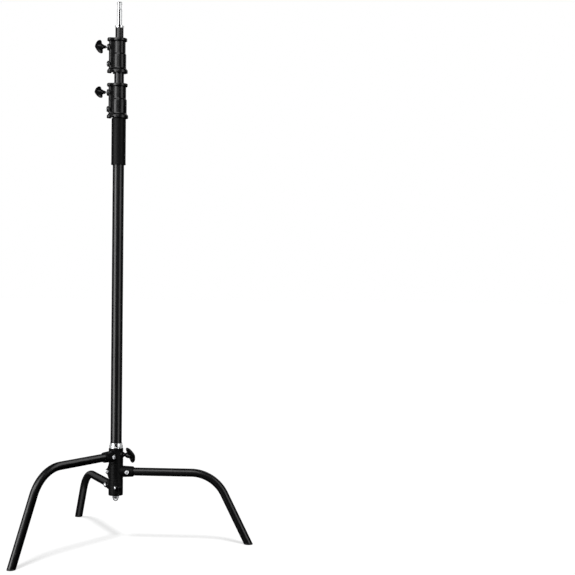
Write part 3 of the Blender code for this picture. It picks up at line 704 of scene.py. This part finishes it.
def build_leg(leg, body):
    """One leg with its casting, foot and fasteners; returns the level of the casting's middle."""
    matrix = place(LEG_AZIMUTH[leg])
    casting, centre = leg_casting(leg)
    add_piece(f"{leg}_leg_casting", casting, matrix, body, "casting", sharp=0)
    add_piece(f"{leg}_leg_tube", leg_tube(leg), matrix, body, "leg")
    add_piece(f"{leg}_leg_foot", leg_foot(leg), matrix, body, "plastic")
    side = LEG_BOLT_SIDE[leg]
    seat = BOSS_HALF_LENGTH
    bolt_at = along_y(LEG_BOLT_RADIUS[leg], SIZES[leg].height, side)
    bolt = bolt_mesh(f"{leg}_leg_bolt_fine", (0.0040, 0.0070, 0.0040, 2 * seat + 0.0068), 0.0050,
                     bolt_at @ Matrix.Translation((0, 0, seat + CLEARANCE)))
    add_piece(f"{leg}_leg_bolt", bolt, matrix, body, "steel")
    nut = chamfered_nut(f"{leg}_leg_nut_fine", 0.0130, -seat - 0.0063, -seat - CLEARANCE, LEG_BOLT_HOLE)
    nut.transform(bolt_at)
    add_piece(f"{leg}_leg_nut", nut, matrix, body, "steel")
    if leg != "top":
        pinch_at = along_y(-PINCH_RADIUS[leg], centre, side)
        pinch_at = pinch_at @ Matrix.Translation((0, 0, PINCH_SEAT + CLEARANCE))
        pinch = bolt_mesh(f"{leg}_pinch_bolt_fine", (0.0025, 0.0057, 0.0036, PINCH_SEAT + PINCH_DEPTH),
                          0.0040, pinch_at)
        add_piece(f"{leg}_pinch_bolt", pinch, matrix, body, "steel")
    return centre


# ---- hub ---------------------------------------------------------------------------------------

def build_receiver():
    """The chrome tube inside the castings, with a grooved flange and a rim above them."""
    inner = COLUMN_RADIUS + 0.0004
    wall = RECEIVER_RADIUS
    flange = width("receiver_tube")
    base, top = low("receiver_tube").z, high("receiver_tube").z
    flange_bottom = CASTING_LEVELS["top"][1] + 2 * CLEARANCE
    flange_top = top - 0.0073
    groove = (flange_bottom + flange_top) / 2
    receiver = turned([(inner, base), (wall, base, 0.0005), (wall, flange_bottom),
                       (flange, flange_bottom, 0.0006), (flange, groove - 0.0007, 0.0002),
                       (flange - 0.0005, groove, 0.0002), (flange, groove + 0.0007, 0.0002),
                       (flange, flange_top, 0.0007), (wall, flange_top, 0.0005),
                       (wall, top, 0.0006), (inner, top, 0.0005)])
    hole = moved(drill(0.0048, 0.010, 0.030), Matrix.Rotation(math.radians(HANDLE_AZIMUTH), 4, 'Z')
                 @ along_x(middle("base_clamp_screw").z))
    add_piece("receiver_tube", carve("receiver_tube_fine", receiver, [('DIFFERENCE', hole)]),
              place(), "base", "chrome")


def build_washers():
    for node, hole_radius, finish in (("end_washer", CENTRE_BOLT_HOLE, "casting"),
                                      ("lower_thrust_washer", BORE_RADIUS, "nylon"),
                                      ("upper_thrust_washer", BORE_RADIUS, "nylon")):
        outer, bottom, upper = width(node), low(node).z, high(node).z
        if finish == "nylon":
            bottom, upper = bottom - 0.8 * CLEARANCE, upper + 0.8 * CLEARANCE
        soft = min(0.0005, (upper - bottom) * 0.3)
        washer = turned([(hole_radius, bottom), (outer, bottom, soft), (outer, upper, soft),
                         (hole_radius, upper)])
        add_piece(node, washer, place(), "base", finish)
    bottom, upper, rim = low("spring_washer").z, high("spring_washer").z, width("spring_washer")
    spring = turned([(CENTRE_BOLT_HOLE, bottom), (0.0075, bottom, 0.0003), (rim, bottom + 0.0014, 0.0003),
                     (rim, upper), (0.0106, upper), (CENTRE_BOLT_HOLE, bottom + 0.0012)])
    add_piece("spring_washer", spring, place(), "base", "steel")


def build_domed_nut():
    """A hexagon skirt, chamfered above and below, on a round dome with a blind hole."""
    bottom, top = low("domed_nut").z, high("domed_nut").z
    skirt = turned([(0, top - 0.0110), (0.0080, top - 0.0110), (0.0114, top - 0.0060),
                    (0.0114, top - 0.0012), (0.0093, top), (0, top)], 64)
    quarter = [(DOME_RADIUS * math.sin(math.radians(a)),
                bottom + DOME_RADIUS * (1 - math.cos(math.radians(a)))) for a in range(10, 91, 8)]
    dome = turned([(0, bottom), *quarter, (DOME_RADIUS, top - 0.0055), (0, top - 0.0055)], 64)
    blind = drill(CENTRE_BOLT_HOLE, bottom + 0.0032, top + 0.001)
    nut = carve("domed_nut_fine", hexagon(0.0190, top - 0.0070, top),
                [('INTERSECT', skirt), ('UNION', dome), ('DIFFERENCE', blind)])
    add_piece("domed_nut", nut, place(), "base", "chrome")


def build_set_screw(level):
    screw = carve("top_casting_set_screw_fine", rod(0.0040, -0.0258, -0.0195),
                  [('DIFFERENCE', hexagon(0.0032, -0.0270, -0.0240))])
    screw.transform(along_x(level))
    add_piece("top_casting_set_screw", screw, place(LEG_AZIMUTH["top"]), "base", "steel")


# ---- clamps ------------------------------------------------------------------------------------

def wing_handle(name, start, apex, half_span, roll):
    """A moulded T handle about local X: two swept wings that run into a waisted, ringed shank."""
    rings = []
    for i in range(49):
        t = -math.cos(math.pi * i / 48)
        reach = abs(t)
        taper = max(math.sqrt(1 - reach ** 8), 0.45)
        full_depth = 0.0135 + 0.0125 * (1 - reach) ** 1.2
        depth = full_depth * taper
        centre = apex - 0.0112 * reach ** 1.4 - full_depth / 2
        thick = (0.0066 - 0.0014 * reach) * taper
        points = []
        for j in range(28):
            angle = 2 * math.pi * j / 28
            cos, sin = math.cos(angle), math.sin(angle)
            points.append(Vector((centre + depth / 2 * math.copysign(abs(cos) ** 0.88, cos),
                                  thick * math.copysign(abs(sin) ** 0.88, sin), t * half_span)))
        rings.append(points)
    shank = turned([(0, start), (0.0048, start, 0.0005), (0.0052, start + 0.0022, 0.0006),
                    (0.0048, start + 0.0036, 0.0015), (0.0078, start + 0.0085, 0.0040),
                    (0.0098, start + 0.0145, 0.0040), (0.0085, apex - 0.0110, 0.0040),
                    (0.0058, apex - 0.0055), (0, apex - 0.0055)], 48)
    hole = drill(CLAMP_SCREW_RADIUS + CLEARANCE, start - 0.001, start + 0.0130)
    mesh = soft_casting(name, skin(rings), [('UNION', moved(shank, along_x())),
                                            ('DIFFERENCE', moved(hole, along_x()))],
                        HANDLE_VOXEL, 0.35)
    mesh.transform(Matrix.Rotation(math.radians(roll), 4, 'X'))
    return mesh


def build_clamp(name, azimuth, screw_start, handle_start, apex, roll):
    level = middle(f"{name}_clamp_screw").z
    matrix = place(azimuth, level)
    handle = wing_handle(f"{name}_t_handle_fine", handle_start, apex, HANDLE_HALF_SPAN, roll)
    add_piece(f"{name}_t_handle", handle, matrix, f"{name}_handle", "handle", sharp=0)
    screw = threaded_rod(CLAMP_SCREW_RADIUS, screw_start, handle_start + 0.0125)
    add_piece(f"{name}_clamp_screw", moved(screw, along_x()), matrix, f"{name}_handle", "steel", sharp=0)


# ---- collars -----------------------------------------------------------------------------------

def collar_outline(radius, offset, level):
    """Plan of a collar: a round barrel with a blunt ear along +X, grown outward by an offset."""
    radius += offset
    reach = COLLAR_EAR_REACH + offset
    root_half = 0.0104 + offset
    nose_half = 0.0098 + offset
    corner = 0.0055 + offset * 0.6
    start = math.asin(root_half / radius)
    upper = []
    for i in range(9):
        angle = math.radians(90 * i / 8)
        upper.append((reach - corner + corner * math.cos(angle),
                      nose_half - corner + corner * math.sin(angle)))
    for i in range(49):
        angle = start + (math.pi - start) * i / 48
        upper.append((radius * math.cos(angle), radius * math.sin(angle)))
    lower = [(x, -y) for x, y in upper[-2::-1]]
    return [Vector((x, y, level)) for x, y in upper + lower]


def closer(points, gap=0.0025):
    """The same (offset, level) line with extra points wherever two are further apart than the gap."""
    line = [points[0]]
    for start, end in zip(points, points[1:]):
        count = max(1, math.ceil((end - start).length / gap))
        line += [start.lerp(end, i / count) for i in range(1, count + 1)]
    return line


def build_collar(name, lower_tube, sliding_tube, body):
    """A clamp collar: casting, guide bush and the bolt that fixes it on the lower tube."""
    node = f"{name}_collar"
    bottom = low(node).z
    top = high(node).z - bottom
    step = top - COLLAR_STEP_DEPTH
    wide = lower_tube + 0.0066
    narrow = sliding_tube + 0.0069
    flange = COLLAR_FLANGE
    matrix = place(KNOB_AZIMUTH, bottom)
    lower_part = rounded([(flange - 0.0016, 0.0), (flange, 0.0, 0.0014), (flange, 0.0084, 0.0016),
                          (0.0, 0.0140, 0.0050), (0.0, step - 0.0016)])
    upper_part = rounded([(0.0, step + 0.0010), (0.0, top - 0.0105, 0.0020), (flange, top - 0.0078, 0.0014),
                          (flange, top, 0.0016), (flange - 0.0018, top)])
    rings = [collar_outline(wide, offset, level) for offset, level in closer(lower_part)]
    rings.append(collar_outline(wide - 0.0004, 0.0, step - 0.0009))
    rings.append(collar_outline(narrow + 0.0003, 0.0, step + 0.0003))
    rings += [collar_outline(narrow, offset, level) for offset, level in closer(upper_part)]
    knob_level = top - COLLAR_KNOB_DEPTH
    reach = COLLAR_BOSS_REACH
    steps = []
    for radius, level in ((0.0102, knob_level), (0.0092, COLLAR_BOLT_HEIGHT)):
        boss = turned([(0, 0.0250), (radius + 0.0012, 0.0250),
                       (radius + 0.0012, COLLAR_EAR_REACH + 0.0001),
                       (radius, COLLAR_EAR_REACH + 0.0016, 0.0012),
                       (radius - 0.0005, reach, 0.0012), (0, reach)], 64)
        steps.append(('UNION', moved(boss, along_x(level))))
    stepped = stepped_drill(0.0053, CLAMP_SCREW_RADIUS + CLEARANCE, 0.0050, 0.0276, 0.0450)
    for cut in (drill(lower_tube + CLEARANCE, -0.002, top + 0.002, SIDES),
                moved(stepped, along_x(knob_level)),
                moved(drill(0.0033, 0.0050, 0.0450), along_x(COLLAR_BOLT_HEIGHT)),
                box_shape((0.0171, -0.0330, -0.0031), (0.0234, 0.0330, 0.0049))):
        steps.append(('DIFFERENCE', cut))
    add_piece(node, carve(f"{node}_fine", skin(rings), steps), matrix, body, "collar")
    bush = turned([(sliding_tube + CLEARANCE, step + CLEARANCE), (lower_tube, step + CLEARANCE),
                   (lower_tube, top - 0.0010), (sliding_tube + CLEARANCE, top - 0.0010, 0.0006)])
    hole = moved(drill(0.0053, 0.0050, 0.0300), along_x(knob_level))
    add_piece(f"{name}_collar_bush", carve(f"{name}_collar_bush_fine", bush, [('DIFFERENCE', hole)]),
              matrix, body, "nylon")
    bolt = bolt_mesh(f"{name}_collar_bolt_fine", (0.0030, 0.0042, 0.0022, reach - lower_tube), 0.0030,
                     along_x(COLLAR_BOLT_HEIGHT) @ Matrix.Translation((0, 0, reach + CLEARANCE)))
    add_piece(f"{name}_collar_bolt", bolt, matrix, body, "steel")


# ---- column, risers and spigot -----------------------------------------------------------------

def upright_tube(node, body, finish="tube"):
    radius, bottom, top = width(node), low(node).z, high(node).z
    count = 24
    outer = [(radius, bottom + (top - bottom) * i / count) for i in range(1, count)]
    shape = turned([(radius - TUBE_WALL, bottom), (radius, bottom, 0.0004), *outer, (radius, top, 0.0004),
                    (radius - TUBE_WALL, top, 0.0003)])
    add_piece(node, shape, place(), body, finish)


def build_grip():
    bottom, top = low("grip_sleeve").z, high("grip_sleeve").z
    lip = width("grip_sleeve")
    radius = lip - 0.0004
    inner = COLUMN_RADIUS + CLEARANCE
    count = 16
    wall = [(radius, bottom + 0.010 + (top - bottom - 0.020) * i / count) for i in range(count + 1)]
    shape = turned([(inner, bottom), (lip, bottom, 0.0014), (lip, bottom + 0.0044, 0.0012),
                    (radius, bottom + 0.0056, 0.0008), *wall, (radius, top, 0.0016), (inner, top)])
    add_piece("grip_sleeve", shape, place(), "column", "foam")


def build_spigot():
    bottom, top = low("spigot").z, high("spigot").z
    tube_end = high("top_riser_tube").z
    flange = width("spigot")
    flange_top = tube_end + 0.0063
    stub = TOP_RISER_RADIUS - TUBE_WALL - CLEARANCE
    r = 0.0080
    neck = 0.0066
    shape = turned([(0, bottom), (stub, bottom, 0.0010), (stub, tube_end + CLEARANCE),
                    (TOP_RISER_RADIUS + 0.0001, tube_end + CLEARANCE, 0.0004),
                    (flange, flange_top - 0.0014, 0.0006), (flange, flange_top, 0.0005),
                    (0.0105, flange_top + 0.0010, 0.0010), (r, flange_top + 0.0014, 0.0006),
                    (r, top - 0.0242, 0.0006), (neck, top - 0.0226, 0.0008), (neck, top - 0.0084, 0.0008),
                    (r, top - 0.0068, 0.0006), (r, top, 0.0016), (0, top)], 64)
    add_piece("spigot", shape, place(), "top_riser", "chrome")


centres = {leg: build_leg(leg, body) for leg, body in
           (("top", "base"), ("middle", "middle_leg"), ("bottom", "bottom_leg"))}
build_receiver()
build_washers()
build_domed_nut()
build_set_screw(centres["top"])
build_clamp("base", HANDLE_AZIMUTH, 0.0218, 0.0298, 0.0690, 35)
build_clamp("lower", KNOB_AZIMUTH, 0.0242, 0.0425, 0.0757, 50)
build_clamp("upper", KNOB_AZIMUTH, 0.0242, 0.0425, 0.0757, 40)
build_collar("lower", COLUMN_RADIUS, MIDDLE_RISER_RADIUS, "column")
build_collar("upper", MIDDLE_RISER_RADIUS, TOP_RISER_RADIUS, "middle_riser")
upright_tube("column_tube", "column")
upright_tube("middle_riser_tube", "middle_riser")
upright_tube("top_riser_tube", "top_riser")
build_grip()
build_spigot()

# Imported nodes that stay, all of them inside the stand.
KEPT = {"base_plug": "steel", "centre_bolt": "steel", "column_end_plug": "nylon",
        "middle_riser_guide": "nylon", "top_riser_guide": "nylon", "base_brake_shoe": "brass",
        "lower_brake_shoe": "brass", "upper_brake_shoe": "brass"}
for node, finish in KEPT.items():
    mesh = frame["nodes"][node].data
    mesh.materials.clear()
    mesh.materials.append(FINISH[finish])


# ---- floor, lights and camera ------------------------------------------------------------------

CAMERA_AZIMUTH = -78.24         # from the stand's axis, in degrees
CAMERA_DISTANCE = 3.6466
CAMERA_HEIGHT = 0.8442
CAMERA_PAN = 8.365              # to the stand's right, so that the stand is left of the middle
CAMERA_TILT = -0.728
CAMERA_ROLL = 0.584
CAMERA_LENS = 72.44
SUN_AZIMUTH = -12               # from the camera's side
SUN_TILT = 22                   # from straight above


def build_floor():
    """A plain pale sweep that glows enough to stay near white, with the sun's soft shadows on it."""
    bm = bmesh.new()
    bmesh.ops.create_grid(bm, x_segments=8, y_segments=8, size=30.0)
    floor = bpy.data.objects.new("floor", mesh_from(bm, "floor"))
    bpy.context.scene.collection.objects.link(floor)
    floor.location.z = -0.0002
    paint = bpy.data.materials.new("pale_floor")
    paint.use_nodes = True
    shader = paint.node_tree.nodes["Principled BSDF"]
    shader.inputs["Base Color"].default_value = (0.85, 0.85, 0.85, 1)
    shader.inputs["Roughness"].default_value = 1.0
    shader.inputs["Specular IOR Level"].default_value = 0.0
    shader.inputs["Emission Color"].default_value = (1, 1, 1, 1)
    shader.inputs["Emission Strength"].default_value = 0.74
    floor.data.materials.append(paint)
    floor.visible_glossy = False
    floor.visible_diffuse = False
    floor.visible_shadow = False
    return floor


def shine_on(light, objects, state):
    """Make a light fall on the given objects alone ('INCLUDE') or on everything but them ('EXCLUDE')."""
    group = bpy.data.collections.new(f"{light.name}_receivers")
    for obj in objects:
        group.objects.link(obj)
    light.light_linking.receiver_collection = group
    for item in group.collection_objects:
        item.light_linking.link_state = state


def softbox(name, place_at, size, radiance, objects, state='EXCLUDE'):
    """A rectangular light facing the stand's axis, placed by (azimuth from the camera's side, height,
    distance)."""
    data = bpy.data.lights.new(name, 'AREA')
    data.shape = 'RECTANGLE'
    data.size, data.size_y = size
    data.energy = radiance * math.pi * data.size * data.size_y
    light = bpy.data.objects.new(name, data)
    bpy.context.scene.collection.objects.link(light)
    azimuth, height, distance = place_at
    angle = math.radians(CAMERA_AZIMUTH + azimuth)
    light.location = AXIS + Vector((distance * math.cos(angle), distance * math.sin(angle), height))
    aim = AXIS + Vector((0, 0, 0.85)) - light.location
    light.rotation_euler = aim.to_track_quat('-Z', 'Y').to_euler()
    light.visible_camera = False
    shine_on(light, objects, state)


def build_lights(floor):
    pieces = bpy.data.objects
    softbox("left_softbox", (-58, 0.95, 2.0), (1.15, 2.7), 4.2, [floor])
    softbox("right_softbox", (50, 0.95, 2.0), (0.95, 2.7), 1.6, [floor, pieces["top_leg_tube_fine"]])
    softbox("top_softbox", (-24, 2.8, 2.0), (1.8, 1.9), 3.2, [floor, pieces["spigot_fine"]])
    softbox("back_left_softbox", (-150, 1.2, 2.4), (0.8, 2.4), 0.35, [floor])
    softbox("back_right_softbox", (140, 1.2, 2.4), (0.8, 2.4), 0.35, [floor])
    softbox("back_top_softbox", (139, 2.5, 2.2), (1.5, 1.5), 0.7, [floor])
    softbox("top_leg_card", (96, 1.8, 1.6), (1.6, 1.6), 1.6, [pieces["top_leg_tube_fine"]], 'INCLUDE')
    softbox("bottom_leg_card", (-20, -0.9, 1.0), (2.0, 1.6), 0.9, [pieces["bottom_leg_tube_fine"]], 'INCLUDE')
    bright = [obj for obj in pieces if obj.type == 'MESH' and obj.data.materials
              and obj.data.materials[0] in (FINISH["chrome"], FINISH["steel"])
              and "clamp_screw" not in obj.name]
    softbox("metal_left_card", (-89, 0.9, 1.6), (6.4, 3.0), 0.50, bright, 'INCLUDE')
    softbox("metal_right_card", (86, 0.9, 1.6), (6.4, 3.0), 0.40, bright, 'INCLUDE')
    softbox("metal_low_card", (0, -0.7, 0.9), (2.4, 1.6), 0.9, bright, 'INCLUDE')
    steel = [obj for obj in bright if obj.data.materials[0] == FINISH["steel"]]
    softbox("steel_front_card", (0, 0.9, 3.0), (1.6, 1.6), 1.3, steel, 'INCLUDE')
    sun_data = bpy.data.lights.new("overhead", 'SUN')
    sun_data.energy = 1.2
    sun_data.angle = math.radians(12)
    sun = bpy.data.objects.new("overhead", sun_data)
    bpy.context.scene.collection.objects.link(sun)
    angle = math.radians(CAMERA_AZIMUTH + SUN_AZIMUTH)
    tilt = math.radians(SUN_TILT)
    towards = Vector((math.sin(tilt) * math.cos(angle), math.sin(tilt) * math.sin(angle), math.cos(tilt)))
    sun.location = AXIS + 3 * towards
    sun.rotation_euler = (-towards).to_track_quat('-Z', 'Y').to_euler()
    shine_on(sun, [floor], 'INCLUDE')
    shades = bpy.data.collections.new("overhead_blockers")
    for leg in LEG_AZIMUTH:
        shades.objects.link(pieces[f"{leg}_leg_tube_fine"])
        shades.objects.link(pieces[f"{leg}_leg_foot_fine"])
    sun.light_linking.blocker_collection = shades
    world = bpy.data.worlds.new("studio")
    world.use_nodes = True
    world.node_tree.nodes["Background"].inputs["Color"].default_value = (1, 1, 1, 1)
    world.node_tree.nodes["Background"].inputs["Strength"].default_value = 1.0
    world.cycles_visibility.diffuse = False
    world.cycles_visibility.glossy = False
    bpy.context.scene.world = world


def build_camera():
    data = bpy.data.cameras.new("camera")
    data.sensor_width = 36
    data.lens = CAMERA_LENS
    camera = bpy.data.objects.new("camera", data)
    bpy.context.scene.collection.objects.link(camera)
    azimuth = math.radians(CAMERA_AZIMUTH)
    pan, tilt, roll = (math.radians(value) for value in (CAMERA_PAN, CAMERA_TILT, CAMERA_ROLL))
    ahead = Vector((-math.cos(azimuth), -math.sin(azimuth), 0))
    right = Vector((ahead.y, -ahead.x, 0))
    up = Vector((0, 0, 1))
    panned_right = right * math.cos(pan) - ahead * math.sin(pan)
    panned_ahead = right * math.sin(pan) + ahead * math.cos(pan)
    tilted_ahead = panned_ahead * math.cos(tilt) + up * math.sin(tilt)
    tilted_up = up * math.cos(tilt) - panned_ahead * math.sin(tilt)
    rolled_right = panned_right * math.cos(roll) + tilted_up * math.sin(roll)
    rolled_up = tilted_up * math.cos(roll) - panned_right * math.sin(roll)
    matrix = Matrix((rolled_right, rolled_up, -tilted_ahead)).transposed().to_4x4()
    matrix.translation = AXIS - ahead * CAMERA_DISTANCE + up * CAMERA_HEIGHT
    camera.matrix_world = matrix
    bpy.context.scene.camera = camera


build_lights(build_floor())
build_camera()
bpy.context.scene.view_settings.view_transform = 'Standard'
